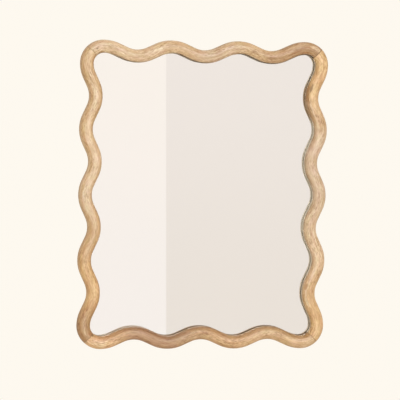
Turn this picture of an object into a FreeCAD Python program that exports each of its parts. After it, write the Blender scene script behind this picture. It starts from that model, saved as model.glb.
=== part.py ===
import FreeCAD, Part
import math
import os

# Wall mirror with a scalloped, round-nosed wooden frame. Lengths are in millimetres.
# X runs to the right, Z runs up, and the front faces -Y. The wall is the plane y = 0,
# and the middle of the mirror is at x = 0, z = 0.

Vector = FreeCAD.Vector
TO_FRONT = Vector(0, -1, 0)
TO_WALL = Vector(0, 1, 0)

# Frame outline
overall_width = 610.0
overall_height = 750.0
waves_across = 3
waves_down = 4
wave_height = 23.0  # crest to trough
flank_length = 24.0  # straight run between a crest and a trough
corner_radius = 41.0  # of the rail's centre line

# Rail section
rail_width = 31.5
rail_depth = 32.0
crown_rise = 15.0  # height of the rounded front above the straight sides
back_arris = 5.0  # bevel along the outer back edge
mitre_ease = 0.4  # bevel where two rails meet on show

# Glazing
glass_thickness = 4.0
liner_thickness = 1.0
rebate_width = 7.0
glass_gap = 1.0  # between the pane's edge and the rebate
liner_inset = 2.0  # of the liner inside the pane's edge
panel_thickness = 3.0
panel_inset = 6.0  # of the back panel inside the frame's outer edge

# Mitre dowels
dowel_diameter = 8.0
dowel_length = 32.0
dowel_spacing = 12.0
dowel_bevel = 1.0
dowel_play = 0.1  # around the dowel
dowel_end_gap = 1.0

# Screws
screw_diameter = 3.5
screw_head_diameter = 7.0
screw_tip = 3.0
screw_play = 0.1  # around the screw
pilot_spare = 1.0  # depth of a pilot hole past the screw's tip
panel_screw_length = 18.0
hanger_screw_length = 16.0
pan_head_height = 2.2
pan_head_bevel = 0.8
recess_width = 0.9
recess_length = 3.2
recess_depth = 1.2

# Ring hangers
ring_wire = 3.0
ring_opening = 20.0
ring_leg = 4.0
ring_bend = 4.0  # radius of the wire's centre line at the bar's ends
ring_play = 0.08  # around the bar inside the strap's knuckle
strap_thickness = 1.2
strap_side_play = 0.5  # between the strap and the ring's bends
strap_end_margin = 4.0  # of strap past its lower screw head
strap_slit = 0.4  # where the rolled end of the strap meets its plate
head_margin = 3.0  # between a screw head and what lies beside it

# Wall bumpers
bumper_diameter = 12.0
bumper_height = 6.0
bumper_bevel = 1.2

# Levels from the wall to the front
panel_back_y = -bumper_height
frame_back_y = panel_back_y - panel_thickness
rebate_depth = glass_thickness + liner_thickness
side_depth = rail_depth - crown_rise
dowel_level_y = frame_back_y - (rebate_depth + rail_depth) / 2

# Offsets from the rail's centre line, outwards
outer_edge = rail_width / 2
sight_edge = -rail_width / 2
rebate_edge = sight_edge + rebate_width
pane_edge = rebate_edge - glass_gap
liner_edge = pane_edge - liner_inset
panel_edge = outer_edge - panel_inset
fixing_line = (rebate_edge + panel_edge) / 2  # middle of the wood behind the panel


class Run:
    """A stretch of line with one constant bend. Positive turns go anticlockwise seen from the front."""

    def __init__(self, start, heading, length, turn):
        self.start = start
        self.heading = heading
        self.length = length
        self.turn = turn

    def left(self, share):
        angle = self.heading + self.turn * share
        return Vector(-math.sin(angle), 0, math.cos(angle))

    def forward(self, share):
        angle = self.heading + self.turn * share
        return Vector(math.cos(angle), 0, math.sin(angle))

    def centre(self):
        return self.start + self.left(0) * (self.length / self.turn)

    def point(self, share, offset=0.0, y=0.0):
        if self.turn:
            base = self.centre() - self.left(share) * (self.length / self.turn)
        else:
            base = self.start + self.forward(0) * (self.length * share)
        return base + self.left(share) * offset + Vector(0, y, 0)

    def edge(self, offset, y):
        first = self.point(0, offset, y)
        last = self.point(1, offset, y)
        if self.turn:
            return Part.Arc(first, self.point(0.5, offset, y), last).toShape()
        return Part.makeLine(first, last)


def trace(start, heading, moves):
    """Runs that follow one another from a start point, one for each (length, turn)."""
    runs = []
    for length, turn in moves:
        run = Run(start, heading, length, turn)
        runs.append(run)
        start = run.point(1)
        heading = heading + turn
    return runs


def rail_moves(waves, reach):
    """Moves along one rail from mitre to mitre, with the waves filling the reach between the corners."""
    quarter = reach / waves / 4
    rise = wave_height / 2
    bend = 2 * math.atan2(rise, quarter + flank_length / 2)
    radius = (quarter - rise / math.tan(bend)) / math.tan(bend / 2)
    half_corner = (corner_radius * math.pi / 4, -math.pi / 4)
    half_crest = (radius * bend, -bend)
    crest = (2 * radius * bend, -2 * bend)
    flank = (flank_length, 0.0)
    trough = (2 * radius * bend, 2 * bend)
    moves = [half_corner, half_crest]
    for wave in range(waves):
        moves += [flank, trough, flank, crest]
    moves[-1] = half_crest
    return moves + [half_corner]


def frame_runs():
    """The four rails' centre lines, clockwise from the mitre at the top left."""
    reach_x = overall_width - rail_width - 2 * corner_radius
    reach_z = overall_height - rail_width - 2 * corner_radius
    diagonal = corner_radius * math.sqrt(0.5)
    start = Vector(-reach_x / 2 - diagonal, 0, reach_z / 2 + diagonal)
    heading = math.pi / 4
    rails = []
    for waves, reach in [(waves_across, reach_x), (waves_down, reach_z)] * 2:
        runs = trace(start, heading, rail_moves(waves, reach))
        rails.append(runs)
        start = runs[-1].point(1)
        heading = heading - math.pi / 2
    return rails


def troughs(runs):
    return runs[3::4]


def crests(runs):
    return runs[5:-4:4]


def solid_of(shape):
    """The one solid of a shape, facing outwards."""
    solid = shape.Solids[0]
    if solid.Volume < 0:
        solid.reverse()
    return solid


def sweep(runs, section):
    """A solid with the section at every point of the runs."""
    pieces = []
    for run in runs:
        face = section(run)
        if run.turn:
            axis = TO_FRONT if run.turn > 0 else TO_WALL
            piece = face.revolve(run.centre(), axis, math.degrees(abs(run.turn)))
        else:
            piece = face.extrude(run.point(1) - run.point(0))
        pieces.append(solid_of(piece))
    return solid_of(pieces[0].multiFuse(pieces[1:]).removeSplitter())


def turned(profile, base, direction):
    """A solid of revolution from (radius, height) points, standing on a base point."""
    points = [Vector(radius, 0, height) for radius, height in profile]
    face = Part.Face(Part.makePolygon(points + points[:1]))
    solid = solid_of(face.revolve(Vector(), Vector(0, 0, 1), 360))
    solid.Placement = FreeCAD.Placement(base, FreeCAD.Rotation(Vector(0, 0, 1), direction))
    return solid


def plate(rails, offset, y_back, thickness):
    """A flat sheet that follows the frame's outline at an offset from the rails' centre line."""
    edges = [run.edge(offset, y_back) for runs in rails for run in runs]
    face = Part.Face(Part.Wire(edges))
    return solid_of(face.extrude(TO_FRONT * thickness))


def nose(outer, top, inner, middle):
    """Half an ellipse over the rail's front, from its outer side to its inner side."""
    if crown_rise <= rail_width / 2:
        return Part.ArcOfEllipse(Part.Ellipse(outer, top, middle), 0, math.pi).toShape()
    return Part.ArcOfEllipse(Part.Ellipse(top, inner, middle), -math.pi / 2, math.pi / 2).toShape()


def rail_section(run):
    """The rail's cross-section at the start of a run."""

    def at(offset, depth):
        return run.point(0, offset, frame_back_y - depth)

    crown = nose(
        at(outer_edge, side_depth),
        at(0, rail_depth),
        at(sight_edge, side_depth),
        at(0, side_depth),
    )
    inner_corners = [
        at(sight_edge, side_depth),
        at(sight_edge, rebate_depth),
        at(rebate_edge, rebate_depth),
        at(rebate_edge, 0),
        at(outer_edge - back_arris, 0),
        at(outer_edge, back_arris),
        at(outer_edge, side_depth),
    ]
    return Part.Face(Part.Wire([crown] + Part.makePolygon(inner_corners).Edges))


def eased_mitre(rail, run, share):
    """The rail with a small bevel around the part of a mitre face that is on show."""
    middle = run.point(share)
    along = run.forward(share)
    edges = []
    for edge in rail.Edges:
        ends = [vertex.Point for vertex in edge.Vertexes]
        if any(abs((end - middle).dot(along)) > 0.001 or (end - middle).Length > 2 * rail_width for end in ends):
            continue
        if all(end.y < frame_back_y - rebate_depth + 0.001 for end in ends):
            if abs(edge.CenterOfMass.y - (frame_back_y - rebate_depth)) > 0.001:
                edges.append(edge)
    return solid_of(rail.makeChamfer(mitre_ease, edges))


def dowel_places(run, share):
    """The middle and direction of each dowel that crosses a mitre."""
    along = run.forward(share)
    return [(run.point(share, side * dowel_spacing / 2, dowel_level_y), along) for side in (-1, 1)]


def dowel_hole(middle, along):
    radius = dowel_diameter / 2 + dowel_play
    length = dowel_length + 2 * dowel_end_gap
    return Part.makeCylinder(radius, length, middle - along * (length / 2), along)


def pilot_hole(place, depth):
    """A blind hole for a screw, from the back of the frame."""
    base = Vector(place.x, frame_back_y, place.z)
    return Part.makeCylinder(screw_diameter / 2 + screw_play, depth + pilot_spare, base, TO_FRONT)


def rail(runs, screw_places, hanger_places):
    body = sweep(runs, rail_section)
    body = eased_mitre(body, runs[0], 0)
    body = eased_mitre(body, runs[-1], 1)
    holes = [dowel_hole(*place) for place in dowel_places(runs[0], 0) + dowel_places(runs[-1], 1)]
    for place in screw_places:
        holes.append(pilot_hole(place, panel_screw_length - panel_thickness))
    for place in hanger_places:
        holes.append(pilot_hole(place, hanger_screw_length - strap_thickness - panel_thickness))
    return solid_of(body.cut(holes))


def dowels(run):
    """The pair of dowels that crosses the mitre at the start of a run."""
    radius = dowel_diameter / 2
    profile = [
        (0, 0),
        (radius - dowel_bevel, 0),
        (radius, dowel_bevel),
        (radius, dowel_length - dowel_bevel),
        (radius - dowel_bevel, dowel_length),
        (0, dowel_length),
    ]
    pair = [turned(profile, middle - along * (dowel_length / 2), along) for middle, along in dowel_places(run, 0)]
    return Part.makeCompound(pair)


def cross_recess(face_level):
    """A cross-shaped driver recess in a screw head whose flat face points to the wall."""
    long_side = Part.makeBox(recess_length, recess_depth * 2, recess_width)
    long_side.translate(Vector(-recess_length / 2, -recess_depth, -recess_width / 2))
    tall_side = long_side.copy()
    tall_side.rotate(Vector(), TO_WALL, 90)
    recess = long_side.fuse(tall_side)
    recess.translate(face_level)
    return recess


def panel_screw(place):
    """A countersunk screw, flush with the back of the panel."""
    head = screw_head_diameter / 2
    shank = screw_diameter / 2
    profile = [
        (0, 0),
        (head, 0),
        (shank, head - shank),
        (shank, panel_screw_length - screw_tip),
        (0, panel_screw_length),
    ]
    return solid_of(turned(profile, place, TO_FRONT).cut(cross_recess(place)))


def hanger_screw(place):
    """A pan-head screw that clamps a strap."""
    head = screw_head_diameter / 2
    shank = screw_diameter / 2
    profile = [
        (0, -pan_head_height),
        (head - pan_head_bevel, -pan_head_height),
        (head, pan_head_bevel - pan_head_height),
        (head, 0),
        (shank, 0),
        (shank, hanger_screw_length - screw_tip),
        (0, hanger_screw_length),
    ]
    head_face = place + TO_WALL * pan_head_height
    return solid_of(turned(profile, place, TO_FRONT).cut(cross_recess(head_face)))


def panel_fixings(runs):
    """Places on the back of the panel at each crest of a rail and beside its two corners."""
    places = [runs[1].point(0, fixing_line, panel_back_y)]
    places += [run.point(0.5, fixing_line, panel_back_y) for run in crests(runs)]
    places.append(runs[-2].point(1, fixing_line, panel_back_y))
    return places


def back_panel(rails, screw_places, hanger_places):
    head = screw_head_diameter / 2 + screw_play
    shank = screw_diameter / 2 + screw_play
    countersink = [
        (0, -1),
        (head, -1),
        (head, 0),
        (shank, head - shank),
        (shank, panel_thickness + 1),
        (0, panel_thickness + 1),
    ]
    holes = [turned(countersink, place, TO_FRONT) for place in screw_places]
    for place in hanger_places:
        base = Vector(place.x, panel_back_y + 1, place.z)
        holes.append(Part.makeCylinder(shank, panel_thickness + 2, base, TO_FRONT))
    return solid_of(plate(rails, panel_edge, panel_back_y, panel_thickness).cut(holes))


# Ring hanger, measured from the axis of the ring's bar
bar_length = ring_opening + ring_wire - 2 * ring_bend
bow_radius = (ring_opening + ring_wire) / 2
ring_reach = ring_bend + ring_leg + bow_radius + ring_wire / 2
knuckle_bore = ring_wire / 2 + ring_play
knuckle_radius = knuckle_bore + strap_thickness
strap_width = bar_length - 2 * strap_side_play
upper_screw_drop = knuckle_radius + head_margin + screw_head_diameter / 2
lower_screw_drop = ring_reach + head_margin + screw_head_diameter / 2
strap_drop = lower_screw_drop + screw_head_diameter / 2 + strap_end_margin
axis_y = panel_back_y + knuckle_radius


def hanger_axis(trough):
    """The middle of a ring's bar, so that its two screws are level with a trough of the rail."""
    place = trough.point(0.5, fixing_line)
    return Vector(place.x, axis_y, place.z + (upper_screw_drop + lower_screw_drop) / 2)


def hanger_screw_places(axis):
    y = panel_back_y + strap_thickness
    return [Vector(axis.x, y, axis.z - drop) for drop in (upper_screw_drop, lower_screw_drop)]


def hanger_strap(axis):
    """A steel strap with its top end rolled into a knuckle around the ring's bar."""
    end_radius = strap_width / 2
    top_left = Vector(-strap_width / 2, 0, 0)
    top_right = Vector(strap_width / 2, 0, 0)
    low_left = Vector(-strap_width / 2, 0, end_radius - strap_drop)
    low_right = Vector(strap_width / 2, 0, end_radius - strap_drop)
    outline = [
        Part.makeLine(top_left, top_right),
        Part.makeLine(top_right, low_right),
        Part.Arc(low_right, Vector(0, 0, -strap_drop), low_left).toShape(),
        Part.makeLine(low_left, top_left),
    ]
    sheet = Part.Face(Part.Wire(outline)).extrude(TO_WALL * strap_thickness)
    bar_side = Vector(-strap_width / 2, knuckle_radius, 0)
    sideways = Vector(1, 0, 0)
    roll = Part.makeCylinder(knuckle_radius, strap_width, bar_side, sideways)
    bore = Part.makeCylinder(knuckle_bore, strap_width, bar_side, sideways)
    slit = Part.makeBox(strap_width, strap_slit, knuckle_radius)
    slit.translate(Vector(-strap_width / 2, strap_thickness, -knuckle_radius))
    strap = sheet.fuse(roll).cut([bore, slit])
    strap.translate(Vector(axis.x, panel_back_y, axis.z))
    holes = []
    for place in hanger_screw_places(axis):
        base = place + TO_WALL
        holes.append(Part.makeCylinder(screw_diameter / 2 + screw_play, strap_thickness + 2, base, TO_FRONT))
    return solid_of(strap.cut(holes))


def ring_section(run):
    return Part.Face(Part.Wire(Part.makeCircle(ring_wire / 2, run.point(0), run.forward(0))))


def hanger_ring(axis):
    """A wire ring shaped like the letter D, standing up from its bar."""
    bend = (ring_bend * math.pi / 2, -math.pi / 2)
    leg = (ring_leg, 0.0)
    bow = (bow_radius * math.pi, -math.pi)
    bar = (bar_length, 0.0)
    start = axis + Vector(bar_length / 2, 0, 0)
    return sweep(trace(start, math.pi, [bar, bend, leg, bow, leg, bend]), ring_section)


def bumper(place):
    """A rubber foot that keeps the frame off the wall."""
    radius = bumper_diameter / 2
    profile = [
        (0, 0),
        (radius, 0),
        (radius, bumper_height - bumper_bevel),
        (radius - bumper_bevel, bumper_height),
        (0, bumper_height),
    ]
    return turned(profile, place, TO_WALL)


def main():
    rails = frame_runs()
    top, right, bottom, left = rails
    names = ["top", "right", "bottom", "left"]
    corners = ["top_left", "top_right", "bottom_right", "bottom_left"]
    axes = {"right": hanger_axis(troughs(right)[0]), "left": hanger_axis(troughs(left)[-1])}
    screw_places = {name: panel_fixings(runs) for name, runs in zip(names, rails)}
    hanger_places = {name: hanger_screw_places(axis) for name, axis in axes.items()}
    all_screws = sum(screw_places.values(), [])
    all_hanger_screws = sum(hanger_places.values(), [])

    parts = {}
    for name, runs in zip(names, rails):
        parts["rail_" + name] = rail(runs, screw_places[name], hanger_places.get(name, []))
    for corner, runs in zip(corners, rails):
        parts["dowels_" + corner] = dowels(runs[0])
    pane_back_y = frame_back_y - liner_thickness
    parts["mirror_glass"] = plate(rails, pane_edge, pane_back_y, glass_thickness)
    parts["card_liner"] = plate(rails, liner_edge, frame_back_y, liner_thickness)
    parts["back_panel"] = back_panel(rails, all_screws, all_hanger_screws)
    parts["panel_screws"] = Part.makeCompound([panel_screw(place) for place in all_screws])
    for name, axis in axes.items():
        parts["hanger_strap_" + name] = hanger_strap(axis)
        parts["hanger_ring_" + name] = hanger_ring(axis)
        parts["hanger_screws_" + name] = Part.makeCompound([hanger_screw(place) for place in hanger_places[name]])
    parts["bumper_right"] = bumper(bottom[0].point(0, fixing_line, panel_back_y))
    parts["bumper_left"] = bumper(left[0].point(0, fixing_line, panel_back_y))

    os.makedirs("parts", exist_ok=True)
    for name, shape in parts.items():
        shape.exportStep("parts/" + name + ".step")


main()
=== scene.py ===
import math
import bpy
from mathutils import Matrix, Vector


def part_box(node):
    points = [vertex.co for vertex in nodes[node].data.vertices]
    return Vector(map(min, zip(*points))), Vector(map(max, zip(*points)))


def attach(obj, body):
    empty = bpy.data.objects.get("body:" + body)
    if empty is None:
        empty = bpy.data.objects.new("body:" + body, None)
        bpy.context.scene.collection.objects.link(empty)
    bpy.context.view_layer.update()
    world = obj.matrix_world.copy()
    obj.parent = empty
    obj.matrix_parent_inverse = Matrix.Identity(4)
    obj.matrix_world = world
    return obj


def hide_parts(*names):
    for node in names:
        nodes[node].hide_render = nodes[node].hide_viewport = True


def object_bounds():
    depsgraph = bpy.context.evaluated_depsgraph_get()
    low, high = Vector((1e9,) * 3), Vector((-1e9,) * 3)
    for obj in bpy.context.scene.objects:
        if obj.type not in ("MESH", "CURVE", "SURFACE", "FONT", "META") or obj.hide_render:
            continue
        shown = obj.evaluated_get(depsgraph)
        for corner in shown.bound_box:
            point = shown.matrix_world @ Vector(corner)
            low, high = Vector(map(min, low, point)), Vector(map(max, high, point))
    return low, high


# Looks of a wall mirror in a wavy wooden frame. Lengths are in metres, in the frame of the solids:
# X runs to the right, Z runs up, and the front faces -Y. Colours are linear red, green and blue.

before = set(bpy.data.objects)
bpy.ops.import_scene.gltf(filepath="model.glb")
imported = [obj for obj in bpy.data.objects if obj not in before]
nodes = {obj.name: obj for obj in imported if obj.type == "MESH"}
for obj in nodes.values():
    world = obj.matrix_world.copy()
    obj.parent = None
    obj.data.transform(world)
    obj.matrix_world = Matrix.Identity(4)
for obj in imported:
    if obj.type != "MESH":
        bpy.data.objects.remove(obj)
cad_low, cad_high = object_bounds()
scene = bpy.context.scene
half_x = cad_high.x
half_z = cad_high.z

# Camera, to the left of the mirror and a little above it
camera_place = Vector((-1.5, -8.0, 0.55))
camera_yaw = math.radians(10.603)
camera_pitch = math.radians(-3.96)
camera_roll = math.radians(0.944)
camera_lens = 301.0  # in millimetres, as the sensor's width is
camera_sensor = 36.0
camera_sight = 200.0  # the farthest that it shows

# Studio
cream = (0.99, 0.945, 0.865)
ambient_tone = (1.0, 0.985, 0.96)
ambient_strength = 0.6
key_place = Vector((0.5, -5.0, 2.5))
key_size = 2.4
key_power = 140.0
floor_tones = ((0.93, 0.89, 0.80), (0.95, 0.91, 0.82))
floor_level = -1.5
floor_reach = 40.0
floor_fade = (2.0, 6.0)  # distances at which the floor starts and ends its change to cream
room_y = -6.0  # the glowing wall that the mirror shows, with painted light and shade
room_width = 4.0
room_height = 4.0
room_edge_x = 0.963  # where its lighter part ends
room_edge_blur = 0.003
room_lean = 0.016  # how far that edge leans per metre of height
room_light = ((0.985, 0.906, 0.847), (0.96, 0.888, 0.85))  # its upper and lower tone
room_dim = ((0.892, 0.815, 0.769), (0.852, 0.775, 0.715))
room_change = (0.2, -1.0)  # heights between which the upper tone turns into the lower one

# Frame sizes that the grain follows
rail_width = 0.0315
half_rail = rail_width / 2
wave_height = 0.023
corner_radius = 0.041
waves_across = 3
waves_down = 4
crown_level = -0.026  # where the rails' straight sides end and their rounded front begins
mitre_offset = half_z - half_x  # the mitres run where |z| - |x| has this value
mitre_line_reach = (0.0022, 0.0006)  # distances at which a mitre's dark line starts and is full
mitre_change = 0.01  # half the length over which one end's line strength gives way to the other's

# Pane
pane_level = -0.014  # its front, along Y
pane_inset = 0.0002  # of its front and back from the faces that they touch
flat_limit = 0.5  # least part of a face normal along Y on its front and back

# Wood tones
straw = (0.825, 0.64, 0.44)
wheat = (0.80, 0.61, 0.40)
oat = (0.815, 0.65, 0.47)
flax = (0.865, 0.68, 0.475)
sand = (0.73, 0.565, 0.405)
honey = (0.735, 0.53, 0.325)
ochre = (0.72, 0.485, 0.278)
fawn = (0.585, 0.40, 0.245)
umber = (0.555, 0.36, 0.20)
rosy = (0.535, 0.335, 0.203)
ash = (0.76, 0.60, 0.45)
peach = (0.885, 0.60, 0.355)
gold = (0.815, 0.57, 0.315)
chalk = (0.90, 0.76, 0.58)
# Unfinished wood of the inner sides, made paler than it is as painted light where they get little
bare_with_painted_light = (0.95, 0.84, 0.67)
bark = (0.15, 0.07, 0.025)
rust = (0.42, 0.21, 0.075)
flank_shade_tone = (0.88, 0.79, 0.66)  # painted shade on the sides of a rail next to its crown
inner_shade_tone = (0.72, 0.66, 0.60)  # painted shade on the side of a rail next to the mirror
crown_shade_tone = (0.80, 0.77, 0.75)  # painted shade on a rail's front, which dims the light that the lamp above throws on it
# Painted shade in the gap between a rail's inner side and the pane
gap_shade_tone = (0.09, 0.065, 0.045)
blotch_tones = ((1.09, 1.12, 1.15), (0.90, 0.84, 0.78))  # light and dark shares of a layer of grain
streak_tones = ((1.03, 1.045, 1.06), (0.72, 0.61, 0.50))
fleck_tones = ((1.05, 1.07, 1.09), (0.54, 0.43, 0.33))
fibre_tones = ((1.10, 1.12, 1.14), (0.88, 0.84, 0.79))
tint_tones = ((1.03, 0.975, 1.02), (0.99, 1.01, 0.92))

# Grain, in changes per metre across a board, in its depth and along it
cloud_grain = (30, 30, 11)
blotch_grain = (110, 110, 34)
streak_grain = (230, 230, 20)
fleck_grain = (400, 400, 110)
fibre_grain = (1400, 1400, 70)
tint_grain = (100, 100, 40)
figure_grain = (45, 45, 16)
pore_grain = (1900, 1900, 110)
log_step = (1.7, 0.9, 2.3)  # from one rail's place in the log to the next one's
zone_drift = 0.08  # how far clouds and streaks carry a zone's tone along the rail
calm_figure = 0.42  # strength of streaks and flecks where the wood is calmest
pore_darkness = 0.4
pore_relief = -0.5  # height of the pores where that of the fibres is 1
wall_fleck_darkness = 0.5

# Limits of noise between which a change happens
most_noise = (0.3, 0.7)
even_noise = (0.36, 0.64)
sparse_noise = (0.44, 0.72)
figure_noise = (0.40, 0.64)
pore_noise = (0.60, 0.70)
wall_fleck_noise = (0.4, 0.8)

# Parts of a rail's width that get painted shade, as where each starts and is full, from -1 at the inner
# edge to 1 at the outer
outer_part = (0.25, 0.75)
inner_part = (-0.25, -0.75)
shaded_part = (0.0, -0.9)
crown_middle = 0.15
crown_part = (0.7, 0.1)  # as distances from the crown's middle
part_drift = 0.4  # how far blotches shift these limits

# Marks in the wood
mark_level = -0.03  # of their middles, along Y
mark_depth = 0.03  # their reach along Y
mark_fade = (1.4, 0.6)  # where a mark starts and is full, in reaches from its middle

# Inner sides of the rails. A reach goes outwards from the inner edge, and a blur lies along Y.
side_blur = 0.001
side_reach = 0.002
rebate_start = (0.0008, 0.0003)  # in front of the pane, where the rebate's unfinished wood starts and is full; its tones also hold painted light and shade
rebate_reach = (0.010, 0.007)
# The dark line along the inner edge next to the pane is painted shade.
gap_shade_blur = 0.003
gap_shade_reach = (0.004, 0.0015)
matt_blur = 0.002


def rgba(colour):
    return (*colour, 1.0)


class Surface:
    """A material whose nodes are added one by one around its own shader."""

    def __init__(self, name):
        self.material = bpy.data.materials.new(name)
        self.material.use_nodes = True
        self.nodes = self.material.node_tree.nodes
        self.links = self.material.node_tree.links
        self.shader = self.nodes["Principled BSDF"]
        self.place = self.add("TexCoord").outputs["Object"]

    def add(self, kind, **settings):
        node = self.nodes.new("ShaderNode" + kind)
        for name, value in settings.items():
            setattr(node, name, value)
        return node

    def put(self, socket, value):
        """Links another node's output to the socket, or sets a plain value there."""
        if isinstance(value, bpy.types.NodeSocket):
            self.links.new(value, socket)
        else:
            socket.default_value = value

    def math(self, operation, *values):
        node = self.add("Math", operation=operation)
        for socket, value in zip(node.inputs, values):
            self.put(socket, value)
        return node.outputs[0]

    def vector(self, operation, first, second):
        node = self.add("VectorMath", operation=operation)
        self.put(node.inputs[0], first)
        self.put(node.inputs[1], second)
        return node.outputs["Vector"]

    def length(self, vector):
        node = self.add("VectorMath", operation="LENGTH")
        self.put(node.inputs[0], vector)
        return node.outputs["Value"]

    def split(self, vector):
        node = self.add("SeparateXYZ")
        self.put(node.inputs[0], vector)
        return node.outputs["X"], node.outputs["Y"], node.outputs["Z"]

    def join(self, x, y, z):
        node = self.add("CombineXYZ")
        for socket, value in zip(node.inputs, (x, y, z)):
            self.put(socket, value)
        return node.outputs[0]

    def noise(self, place, frequency, detail=2.0, roughness=0.5):
        """Smooth noise from 0 to 1, with a frequency per metre for each axis."""
        node = self.add("TexNoise")
        self.put(node.inputs["Vector"], self.vector("MULTIPLY", place, frequency))
        self.put(node.inputs["Scale"], 1.0)
        self.put(node.inputs["Detail"], detail)
        self.put(node.inputs["Roughness"], roughness)
        return node.outputs["Fac"]

    def span(self, value, low, high, first=0.0, last=1.0):
        """The value's place between low and high, eased, as a number from first to last."""
        node = self.add("MapRange", interpolation_type="SMOOTHSTEP")
        for socket, number in zip(node.inputs, (value, low, high, first, last)):
            self.put(socket, number)
        return node.outputs[0]

    def ramp(self, factor, stops):
        """Colours at places along the factor from 0 to 1, given as (place, colour)."""
        node = self.add("ValToRGB")
        self.put(node.inputs[0], factor)
        elements = node.color_ramp.elements
        while len(elements) < len(stops):
            elements.new(1.0)
        for element, (position, colour) in zip(elements, stops):
            element.position = position
            element.color = rgba(colour)
        return node.outputs["Color"]

    def stretch(self, value, places):
        """Colours at places along any value, given as (place, colour), with even changes between them."""
        first = places[0][0]
        reach = places[-1][0] - first
        share = self.math("DIVIDE", self.math("SUBTRACT", value, first), reach)
        return self.ramp(share, [((place - first) / reach, colour) for place, colour in places])

    def blend(self, factor, first, second, mode="MIX"):
        node = self.add("Mix", data_type="RGBA", blend_type=mode)
        self.put(node.inputs[0], factor)
        for socket, colour in ((node.inputs[6], first), (node.inputs[7], second)):
            self.put(socket, rgba(colour) if isinstance(colour, tuple) else colour)
        return node.outputs[2]

    def bump(self, height, strength, distance):
        node = self.add("Bump")
        self.put(node.inputs["Height"], height)
        self.put(node.inputs["Strength"], strength)
        self.put(node.inputs["Distance"], distance)
        self.put(self.shader.inputs["Normal"], node.outputs["Normal"])

    def set(self, **values):
        """Sets the shader's inputs. An underscore in a name stands for a space."""
        for name, value in values.items():
            value = rgba(value) if isinstance(value, tuple) else value
            self.put(self.shader.inputs[name.replace("_", " ")], value)

    def glow(self, colour):
        """A shader that shines with this colour."""
        node = self.add("Emission")
        self.put(node.inputs["Color"], colour)
        return node.outputs[0]

    def shown(self):
        """1 for rays that show a surface: from the camera, a mirror or glass."""
        path = self.add("LightPath")
        seen = self.math("MAXIMUM", path.outputs["Is Camera Ray"], path.outputs["Is Glossy Ray"])
        return self.math("MAXIMUM", seen, path.outputs["Is Transmission Ray"])

    def mix(self, factor, first, second):
        node = self.add("MixShader")
        for socket, value in zip(node.inputs, (factor, first, second)):
            self.put(socket, value)
        return node.outputs[0]

    def finish(self, shader):
        """Makes this shader the surface in place of the material's own."""
        self.put(self.nodes["Material Output"].inputs["Surface"], shader)


def bent_board(surface, along, side, waves):
    """Places in a board that bends with its rail.

    They run outwards from the rail's centre line, in depth, and along the rail.
    """
    x, y, z = surface.split(surface.place)
    if along == "X":
        length, across, half_length, half_across = x, z, half_x, half_z
    else:
        length, across, half_length, half_across = z, x, half_z, half_x
    crest = half_across - half_rail
    reach = half_length - half_rail - corner_radius
    outwards = surface.math("MULTIPLY", across, side)

    phase = surface.math("MULTIPLY_ADD", length, math.pi * waves / reach, math.pi * waves)
    swing = surface.math("COSINE", phase)
    wave = surface.math("MULTIPLY_ADD", swing, wave_height / 2, crest - wave_height / 2)
    wave_offset = surface.math("SUBTRACT", outwards, wave)

    past = surface.math("SUBTRACT", surface.math("ABSOLUTE", length), reach)
    past = surface.math("MAXIMUM", past, 0.0)
    height = surface.math("SUBTRACT", outwards, crest - corner_radius)
    radius = surface.length(surface.join(past, height, 0.0))
    corner_offset = surface.math("SUBTRACT", radius, corner_radius)
    at_corner = surface.math("GREATER_THAN", past, 0.0)
    change = surface.math("SUBTRACT", corner_offset, wave_offset)
    offset = surface.math("MULTIPLY_ADD", change, at_corner, wave_offset)

    arc = surface.math("MULTIPLY", surface.math("ARCTAN2", past, height), corner_radius)
    inside = surface.math("MAXIMUM", surface.math("MINIMUM", length, reach), -reach)
    station = surface.math("MULTIPLY_ADD", surface.math("SIGN", length), arc, inside)
    return offset, y, station


def shade_parts(surface, colour, offset, ragged, strengths):
    """Paints shade over a rail's outer side, its inner side, what lies next to the mirror, and its crown.
    """
    across = surface.math("DIVIDE", offset, half_rail)
    across = surface.math("MULTIPLY_ADD", ragged, part_drift, across)
    from_crown = surface.math("ABSOLUTE", surface.math("SUBTRACT", across, crown_middle))
    parts = (
        (across, outer_part, flank_shade_tone),
        (across, inner_part, flank_shade_tone),
        (across, shaded_part, inner_shade_tone),
        (from_crown, crown_part, crown_shade_tone),
    )
    for (place, limits, tone), strength in zip(parts, strengths):
        colour = surface.blend(surface.span(place, *limits, 0.0, strength), colour, tone, "MULTIPLY")
    return colour


def add_marks(surface, colour, board, ragged, marks):
    """Lays single streaks, knots and patches with ragged rims over the wood."""
    for place_along, place_out, reach_along, reach_out, tone, strength in marks:
        away = surface.vector("SUBTRACT", board, (place_out, mark_level, place_along))
        away = surface.vector("DIVIDE", away, (reach_out, mark_depth, reach_along))
        away = surface.math("ADD", surface.length(away), ragged)
        colour = surface.blend(surface.span(away, *mark_fade, 0.0, strength), colour, tone)
    return colour


def add_mitre_lines(surface, colour, station, strengths):
    """Draws dark glue lines along the mitres at the low and the high end of a rail."""
    x, y, z = surface.split(surface.place)
    gap = surface.math("SUBTRACT", surface.math("ABSOLUTE", z), surface.math("ABSOLUTE", x))
    gap = surface.math("ABSOLUTE", surface.math("SUBTRACT", gap, mitre_offset))
    strength = surface.span(station, -mitre_change, mitre_change, *strengths)
    line = surface.math("MULTIPLY", surface.span(gap, *mitre_line_reach), strength)
    return surface.blend(line, colour, bark)


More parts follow.
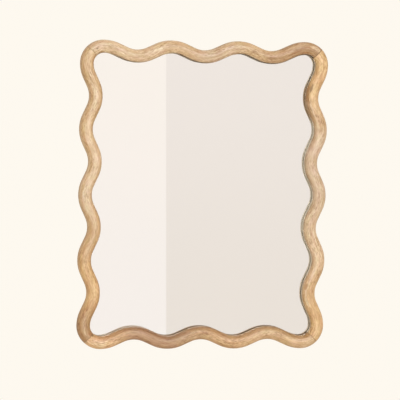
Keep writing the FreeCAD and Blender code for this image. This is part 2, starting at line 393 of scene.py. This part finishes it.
def add_inner_side(surface, colour, offset, depth, station, flecks, walls, gap_shade_band):
    """Bares the wood of a rail's straight inner side and rebate, in tones that also paint the light and
    shade that each place gets, and lays painted shade in the gap along its inner edge next to the pane.
    """
    edge = -half_rail
    side = surface.span(depth, crown_level - side_blur, crown_level + side_blur)
    side = surface.math("MULTIPLY", side, surface.span(offset, edge + side_reach, edge))
    start, full = rebate_start
    rebate = surface.span(depth, pane_level - start, pane_level - full)
    start, full = rebate_reach
    rebate = surface.math("MULTIPLY", rebate, surface.span(offset, edge + start, edge + full))
    wall = surface.stretch(station, [(place, tone) for place, tone, strength in walls])
    wall = surface.blend(surface.span(flecks, *wall_fleck_noise, 0.0, wall_fleck_darkness), wall, umber)
    colour = surface.blend(surface.math("MAXIMUM", side, rebate), colour, wall)

    near, far = gap_shade_band
    front = pane_level - far
    back = pane_level - near
    start, full = gap_shade_reach
    gap_shade = surface.stretch(station, [(place, (strength,) * 3) for place, tone, strength in walls])
    gap_shade = surface.math("MULTIPLY", gap_shade, surface.span(depth, front, front + gap_shade_blur))
    gap_shade = surface.math("MULTIPLY", gap_shade, surface.span(depth, back + gap_shade_blur, back))
    gap_shade = surface.math("MULTIPLY", gap_shade, surface.span(offset, edge + start, edge + full))
    return surface.blend(gap_shade, colour, gap_shade_tone)


def wood(name, along, side, waves, seed, zones, marks, parts, walls, gap_shade_band, mitres):
    """Oiled hardwood whose grain follows the rail along X or Z on the + or - side of the frame.

    zones are (place along the rail, tone).
    marks are (place along, place outwards, reach along, reach outwards, tone, strength).
    parts are the strengths of the painted shade on the outer side, the inner side, next to the mirror,
    and on the crown.
    walls are (place along, tone, strength of the painted shade in the gap) of the unfinished inner side,
    whose tones also paint light and shade.
    the shade band is how far in front of the pane the painted shade in the gap begins and ends.
    mitres are the strengths of the glue lines at the low and the high end.
    """
    surface = Surface(name)
    offset, depth, station = bent_board(surface, along, side, waves)
    board = surface.join(offset, depth, station)
    log = surface.vector("ADD", board, tuple(seed * step for step in log_step))

    clouds = surface.noise(log, cloud_grain)
    blotches = surface.noise(log, blotch_grain, detail=3.0, roughness=0.6)
    streaks = surface.noise(log, streak_grain, detail=3.0, roughness=0.65)
    flecks = surface.noise(log, fleck_grain, roughness=0.6)
    fibres = surface.noise(log, fibre_grain, roughness=0.6)
    tints = surface.noise(log, tint_grain, detail=4.0, roughness=0.7)
    figure = surface.span(surface.noise(log, figure_grain), *figure_noise, first=calm_figure)
    pores = surface.span(surface.noise(log, pore_grain, detail=1.0), *pore_noise)
    ragged = surface.math("MULTIPLY_ADD", blotches, 2.0, -1.0)

    drifted = surface.math("MULTIPLY_ADD", clouds, zone_drift, station)
    drifted = surface.math("MULTIPLY_ADD", streaks, zone_drift, drifted)
    drifted = surface.math("SUBTRACT", drifted, zone_drift)
    colour = surface.stretch(drifted, zones)
    # painted shade over a rail's sides and crown
    colour = shade_parts(surface, colour, offset, ragged, parts)
    colour = add_marks(surface, colour, board, ragged, marks)
    layers = (
        (blotches, blotch_tones, even_noise, 1.0),
        (streaks, streak_tones, sparse_noise, figure),
        (flecks, fleck_tones, sparse_noise, figure),
        (fibres, fibre_tones, even_noise, 1.0),
        (tints, tint_tones, even_noise, 1.0),
    )
    for layer, tones, limits, strength in layers:
        grain = surface.ramp(layer, list(zip(limits, tones)))
        colour = surface.blend(strength, colour, grain, "MULTIPLY")
    colour = surface.blend(surface.math("MULTIPLY", pores, pore_darkness), colour, umber, "MULTIPLY")
    colour = add_mitre_lines(surface, colour, station, mitres)
    # unfinished inner side whose tones hold painted light and shade, and painted shade in the gap by the
    # pane
    colour = add_inner_side(surface, colour, offset, depth, station, flecks, walls, gap_shade_band)

    relief = surface.math("MULTIPLY_ADD", pores, pore_relief, fibres)
    surface.bump(relief, strength=0.2, distance=0.0002)
    oiled = surface.span(flecks, *most_noise, first=0.40, last=0.55)
    matt = surface.span(depth, crown_level - matt_blur, crown_level, first=0.0, last=0.9)
    rough = surface.math("MAXIMUM", oiled, matt)
    surface.set(Base_Color=colour, Roughness=rough, Specular_IOR_Level=0.6)
    return surface.material


def top_wood():
    """Straw on the left, turning to umber with rust streaks on the right."""
    zones = [
        (-half_x, straw), (-0.12, straw), (-0.06, honey), (0.03, sand),
        (0.09, honey), (0.13, honey), (0.20, umber), (half_x, umber),
    ]
    marks = [
        (-0.262, -0.014, 0.012, 0.003, rust, 0.7),
        (-0.268, -0.001, 0.003, 0.002, bark, 0.6),
        (-0.111, 0.002, 0.004, 0.003, chalk, 0.4),
        (0.225, 0.011, 0.026, 0.003, wheat, 0.3),
        (0.255, 0.004, 0.018, 0.0015, rust, 0.9),
        (0.222, -0.004, 0.018, 0.0015, rust, 0.8),
        (0.205, 0.001, 0.022, 0.002, wheat, 0.3),
        (0.170, -0.006, 0.014, 0.002, straw, 0.5),
        (0.248, -0.009, 0.020, 0.0015, rust, 0.9),
        (0.270, 0.007, 0.010, 0.005, wheat, 0.7),
    ]
    walls = [
        (-half_x, ash, 0.0), (-0.23, ash, 0.0), (-0.21, ash, 0.6), (-0.17, ash, 0.6),
        (-0.14, ash, 0.0), (-0.09, ash, 0.0), (-0.07, ash, 0.8), (-0.01, ash, 0.8),
        (0.02, ash, 0.0), (0.07, ash, 0.0), (0.09, ash, 0.9), (0.17, ash, 0.9),
        (0.19, ash, 0.2), (0.22, ash, 0.2), (0.24, ash, 0.9), (half_x, ash, 0.9),
    ]
    return wood(
        "wood_top", along="X", side=1.0, waves=waves_across, seed=1.0, zones=zones, marks=marks,
        parts=(0.6, 0.35, 0.0, 0.65), walls=walls, gap_shade_band=(0.011, 0.0215), mitres=(0.25, 0.65),
    )


def right_wood():
    """Gold at both ends and greyer between, with pale unfinished wood towards the mirror, made paler
    still as painted light where it gets little.
    """
    zones = [
        (-half_z, gold), (-0.28, gold), (-0.20, honey), (-0.13, flax), (-0.03, sand),
        (0.12, ash), (0.20, honey), (0.27, gold), (half_z, gold),
    ]
    marks = [
        (0.235, -0.016, 0.030, 0.006, rust, 0.9),
        (0.205, -0.014, 0.025, 0.006, umber, 0.9),
        (0.262, -0.009, 0.010, 0.003, bark, 0.6),
        (-0.250, 0.005, 0.090, 0.007, rust, 0.22),
        (-0.225, -0.008, 0.060, 0.003, oat, 0.6),
        (-0.090, -0.006, 0.070, 0.003, oat, 0.4),
        (0.190, -0.007, 0.050, 0.003, oat, 0.5),
        (-0.222, -0.010, 0.008, 0.003, rust, 0.7),
        (-0.234, 0.007, 0.004, 0.002, rust, 0.6),
    ]
    walls = [
        (-half_z, chalk, 0.6), (-0.20, chalk, 0.6), (-0.15, bare_with_painted_light, 0.0), (0.17, bare_with_painted_light, 0.0),
        (0.20, umber, 0.1), (0.26, umber, 0.2), (0.285, chalk, 0.9), (half_z, chalk, 0.9),
    ]
    return wood(
        "wood_right", along="Z", side=1.0, waves=waves_down, seed=2.0, zones=zones, marks=marks,
        parts=(0.6, 0.45, 0.0, 0.1), walls=walls, gap_shade_band=(-0.002, 0.0035), mitres=(0.4, 0.65),
    )


def bottom_wood():
    """Peach at the left corner, then reddish brown, and honey on the right."""
    zones = [
        (-half_x, peach), (-0.24, peach), (-0.21, ochre), (-0.17, rosy), (-0.09, rosy),
        (-0.05, fawn), (0.03, ochre), (0.08, ochre), (0.16, honey), (half_x, honey),
    ]
    marks = [
        (-0.279, -0.011, 0.004, 0.003, bark, 0.6),
        (-0.279, 0.011, 0.003, 0.003, umber, 0.8),
        (-0.252, 0.002, 0.020, 0.008, chalk, 0.4),
        (0.087, 0.001, 0.020, 0.003, peach, 0.5),
        (0.225, 0.001, 0.030, 0.003, peach, 0.4),
        (0.268, -0.012, 0.012, 0.003, rust, 0.7),
    ]
    walls = [(-half_x, ash, 0.0), (-0.13, ash, 0.0), (-0.09, umber, 0.9), (half_x, umber, 0.9)]
    return wood(
        "wood_bottom", along="X", side=-1.0, waves=waves_across, seed=3.0, zones=zones, marks=marks,
        parts=(0.7, 1.0, 0.7, 0.1), walls=walls, gap_shade_band=(-0.002, 0.005), mitres=(0.4, 0.3),
    )


def left_wood():
    """Umber at the bottom corner, gold above it, and pale from the middle up."""
    zones = [
        (-half_z, umber), (-0.315, umber), (-0.25, gold), (-0.185, gold), (-0.13, honey), (-0.08, honey),
        (0.0, oat), (0.13, flax), (0.19, wheat), (0.30, wheat), (half_z, honey),
    ]
    marks = [
        (-0.235, -0.012, 0.012, 0.004, peach, 0.7),
        (-0.345, -0.011, 0.009, 0.006, rust, 0.7),
        (-0.320, 0.001, 0.028, 0.003, straw, 0.45),
        (-0.325, 0.010, 0.030, 0.002, rust, 0.4),
        (-0.085, -0.001, 0.070, 0.005, fawn, 0.25),
        (0.235, 0.002, 0.070, 0.004, chalk, 0.35),
    ]
    walls = [(-half_z, straw, 0.0), (half_z, straw, 0.0)]
    return wood(
        "wood_left", along="Z", side=-1.0, waves=waves_down, seed=4.0, zones=zones, marks=marks,
        parts=(1.0, 1.0, 0.15, 0.2), walls=walls, gap_shade_band=(-0.002, 0.005), mitres=(0.4, 0.25),
    )


def beech():
    """Plain beech with small dark flecks."""
    pale = (0.72, 0.56, 0.38)
    brown = (0.60, 0.43, 0.27)
    fleck = (0.42, 0.25, 0.13)
    surface = Surface("beech")
    tone = surface.noise(surface.place, (120, 120, 120), detail=3.0)
    flecks = surface.span(surface.noise(surface.place, (700, 700, 700), detail=1.0), 0.58, 0.66)
    colour = surface.ramp(tone, [(0.35, pale), (0.65, brown)])
    colour = surface.blend(surface.math("MULTIPLY", flecks, 0.5), colour, fleck)
    rough = surface.span(tone, *most_noise, first=0.6, last=0.75)
    surface.bump(tone, strength=0.2, distance=0.0004)
    surface.set(Base_Color=colour, Roughness=rough)
    return surface.material


def glass_front():
    """The clear front of the pane, with a trace of haze where it was wiped."""
    clear = (0.985, 0.995, 0.985)
    surface = Surface("glass_front")
    wiped = surface.noise(surface.place, (5, 5, 9), detail=3.0)
    haze = surface.span(wiped, 0.5, 0.8, first=0.0, last=0.015)
    surface.set(Base_Color=clear, Transmission_Weight=1.0, IOR=1.52, Roughness=haze)
    return surface.material


def glass_edge():
    """The ground edge of the pane, green from the depth of glass behind it."""
    deep_green = (0.20, 0.38, 0.30)
    pale_green = (0.36, 0.55, 0.46)
    surface = Surface("glass_edge")
    grind = surface.noise(surface.place, (900, 200, 900), detail=3.0)
    colour = surface.ramp(grind, list(zip(most_noise, (deep_green, pale_green))))
    rough = surface.span(grind, *most_noise, first=0.3, last=0.5)
    surface.bump(grind, strength=0.3, distance=0.0002)
    surface.set(Base_Color=colour, Roughness=rough)
    return surface.material


def silver():
    """The silvering on the back of the pane."""
    bright = (0.985, 0.985, 0.98)
    dull = (0.975, 0.98, 0.975)
    surface = Surface("silver")
    veil = surface.noise(surface.place, (3, 3, 4))
    colour = surface.ramp(veil, list(zip(most_noise, (bright, dull))))
    surface.set(Base_Color=colour, Metallic=1.0, Roughness=0.0)
    return surface.material


def card():
    """Grey-brown board with pale and dark pulp."""
    dark = (0.42, 0.35, 0.26)
    pale = (0.56, 0.48, 0.37)
    surface = Surface("card")
    pulp = surface.noise(surface.place, (260, 260, 260), detail=4.0, roughness=0.7)
    colour = surface.ramp(pulp, [(0.35, dark), (0.6, pale)])
    rough = surface.span(pulp, *most_noise, first=0.8, last=0.92)
    surface.bump(pulp, strength=0.2, distance=0.0004)
    surface.set(Base_Color=colour, Roughness=rough)
    return surface.material


def hardboard():
    """Pressed brown fibre with a few longer dark fibres and a faint sheen."""
    dark = (0.20, 0.105, 0.05)
    brown = (0.29, 0.165, 0.085)
    pale = (0.38, 0.235, 0.135)
    black_brown = (0.11, 0.055, 0.028)
    surface = Surface("hardboard")
    mottle = surface.noise(surface.place, (45, 45, 45), detail=4.0, roughness=0.6)
    fibre = surface.noise(surface.place, (900, 900, 900), detail=3.0, roughness=0.65)
    long_fibre = surface.span(surface.noise(surface.place, (260, 260, 1100)), 0.60, 0.70)
    grain = surface.math("MULTIPLY_ADD", fibre, 0.6, surface.math("MULTIPLY", mottle, 0.4))
    colour = surface.ramp(grain, [(0.35, dark), (0.5, brown), (0.65, pale)])
    colour = surface.blend(surface.math("MULTIPLY", long_fibre, 0.45), colour, black_brown)
    rough = surface.span(fibre, *most_noise, first=0.48, last=0.68)
    surface.bump(grain, strength=0.3, distance=0.0004)
    surface.set(Base_Color=colour, Roughness=rough)
    return surface.material


def zinc():
    """Zinc-plated steel, slightly cloudy, with fine scratches."""
    grey = (0.58, 0.585, 0.58)
    bright = (0.76, 0.76, 0.745)
    surface = Surface("zinc")
    cloud = surface.noise(surface.place, (380, 380, 380), detail=3.0, roughness=0.6)
    scratch = surface.span(surface.noise(surface.place, (2500, 2500, 300)), 0.55, 0.7)
    colour = surface.ramp(cloud, [(0.35, grey), (0.65, bright)])
    rough = surface.span(cloud, *most_noise, first=0.22, last=0.36)
    rough = surface.math("MULTIPLY_ADD", scratch, 0.12, rough)
    surface.bump(scratch, strength=0.1, distance=0.0001)
    surface.set(Base_Color=colour, Metallic=1.0, Roughness=rough)
    return surface.material


def rubber():
    """Black rubber with a dusty bloom."""
    black = (0.028, 0.028, 0.03)
    dusty = (0.075, 0.073, 0.07)
    surface = Surface("rubber")
    bloom = surface.noise(surface.place, (300, 300, 300), detail=4.0, roughness=0.6)
    colour = surface.ramp(bloom, [(0.35, black), (0.7, dusty)])
    rough = surface.span(bloom, *most_noise, first=0.68, last=0.85)
    surface.bump(bloom, strength=0.3, distance=0.0003)
    surface.set(Base_Color=colour, Roughness=rough)
    return surface.material


def paint(names, material):
    """Gives the named nodes this material in place of their plain one."""
    for name in names:
        slots = nodes[name].data.materials
        slots.clear()
        slots.append(material)


def paint_rails():
    paint(["rail_top"], top_wood())
    paint(["rail_right"], right_wood())
    paint(["rail_bottom"], bottom_wood())
    paint(["rail_left"], left_wood())


def make_pane():
    """The mirror's pane, which keeps just clear of the rails in front of it and the liner behind it."""
    mesh = nodes["mirror_glass"].data.copy()
    low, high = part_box("mirror_glass")
    for vertex in mesh.vertices:
        vertex.co.y = min(max(vertex.co.y, low.y + pane_inset), high.y - pane_inset)
    mesh.materials.clear()
    for material in (glass_front(), silver(), glass_edge()):
        mesh.materials.append(material)
    front, back, rim = range(3)
    for face in mesh.polygons:
        if face.normal.y < -flat_limit:
            face.material_index = front
        elif face.normal.y > flat_limit:
            face.material_index = back
        else:
            face.material_index = rim
    pane = bpy.data.objects.new("mirror_pane", mesh)
    scene.collection.objects.link(pane)
    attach(pane, "frame")
    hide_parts("mirror_glass")


def paint_hardware():
    sides = ["left", "right"]
    corners = ["top_left", "top_right", "bottom_right", "bottom_left"]
    paint(["dowels_" + corner for corner in corners], beech())
    paint(["card_liner"], card())
    paint(["back_panel"], hardboard())
    steel = ["panel_screws"]
    for side in sides:
        steel += ["hanger_strap_" + side, "hanger_ring_" + side, "hanger_screws_" + side]
    paint(steel, zinc())
    paint(["bumper_" + side for side in sides], rubber())


def stage_plane(name, corners, material):
    """A flat four-cornered piece of the studio."""
    mesh = bpy.data.meshes.new(name)
    mesh.from_pydata(corners, [], [(0, 1, 2, 3)])
    mesh.materials.append(material)
    plane = bpy.data.objects.new(name, mesh)
    scene.collection.objects.link(plane)
    return plane


def make_floor():
    """A pale floor that turns into the background's cream away from the mirror."""
    surface = Surface("floor")
    tone = surface.noise(surface.place, (3, 3, 3), detail=3.0)
    colour = surface.ramp(tone, list(zip(most_noise, floor_tones)))
    surface.set(Base_Color=colour, Roughness=0.9)
    far = surface.span(surface.length(surface.place), *floor_fade)
    factor = surface.math("MULTIPLY", far, surface.shown())
    glow = surface.glow(rgba(cream))
    surface.finish(surface.mix(factor, surface.shader.outputs[0], glow))
    reach = floor_reach
    corners = [(-reach, -reach, 0), (reach, -reach, 0), (reach, reach, 0), (-reach, reach, 0)]
    floor = stage_plane("floor", corners, surface.material)
    floor.location.z = floor_level


def make_room():
    """A pale, glowing two-toned stand-in for the room wall that the mirror shows, with painted light on
    its lighter part and painted shade on its dimmer part and lower down; only mirrors and glass see it.
    """
    surface = Surface("room")
    x, y, z = surface.split(surface.place)
    from_edge = surface.math("MULTIPLY_ADD", z, room_lean, x)
    low = surface.span(z, *room_change)
    light = surface.blend(low, *room_light)
    dim = surface.blend(low, *room_dim)
    colour = surface.blend(surface.span(from_edge, -room_edge_blur, room_edge_blur), light, dim)
    surface.finish(surface.glow(colour))
    wide = room_width / 2
    tall = room_height / 2
    corners = [(-wide, 0, -tall), (wide, 0, -tall), (wide, 0, tall), (-wide, 0, tall)]
    room = stage_plane("room", corners, surface.material)
    room.location = (room_edge_x, room_y, 0)
    room.visible_camera = False
    room.visible_diffuse = False
    room.visible_shadow = False


def make_world():
    """Even light from all around, with cream where the background shows."""
    world = bpy.data.worlds.new("studio")
    scene.world = world
    world.use_nodes = True
    tree = world.node_tree
    ambient = tree.nodes["Background"]
    ambient.inputs["Color"].default_value = rgba(ambient_tone)
    ambient.inputs["Strength"].default_value = ambient_strength
    backdrop = tree.nodes.new("ShaderNodeBackground")
    backdrop.inputs["Color"].default_value = rgba(cream)
    path = tree.nodes.new("ShaderNodeLightPath")
    factor = path.outputs["Is Camera Ray"]
    for name in ("Is Glossy Ray", "Is Transmission Ray"):
        either = tree.nodes.new("ShaderNodeMath")
        either.operation = "MAXIMUM"
        tree.links.new(factor, either.inputs[0])
        tree.links.new(path.outputs[name], either.inputs[1])
        factor = either.outputs[0]
    mix = tree.nodes.new("ShaderNodeMixShader")
    tree.links.new(factor, mix.inputs[0])
    tree.links.new(ambient.outputs[0], mix.inputs[1])
    tree.links.new(backdrop.outputs[0], mix.inputs[2])
    tree.links.new(mix.outputs[0], tree.nodes["World Output"].inputs["Surface"])


def make_key_light():
    """One large soft lamp in front and above."""
    lamp = bpy.data.lights.new("key", "AREA")
    lamp.shape = "SQUARE"
    lamp.size = key_size
    lamp.energy = key_power
    key = bpy.data.objects.new("key", lamp)
    key.location = key_place
    key.rotation_euler = (-key_place).to_track_quat("-Z", "Y").to_euler()
    scene.collection.objects.link(key)


def make_camera():
    lens = bpy.data.cameras.new("camera")
    lens.lens = camera_lens
    lens.sensor_width = camera_sensor
    lens.clip_end = camera_sight
    camera = bpy.data.objects.new("camera", lens)
    turn = Matrix.Rotation(-camera_yaw, 4, "Z")
    tilt = Matrix.Rotation(math.pi / 2 + camera_pitch, 4, "X")
    roll = Matrix.Rotation(camera_roll, 4, "Z")
    camera.matrix_world = Matrix.Translation(camera_place) @ turn @ tilt @ roll
    scene.collection.objects.link(camera)
    scene.camera = camera


paint_rails()
make_pane()
paint_hardware()
make_world()
make_key_light()
make_floor()
make_room()
make_camera()
scene.view_settings.view_transform = "Standard"

bpy.context.view_layer.update()
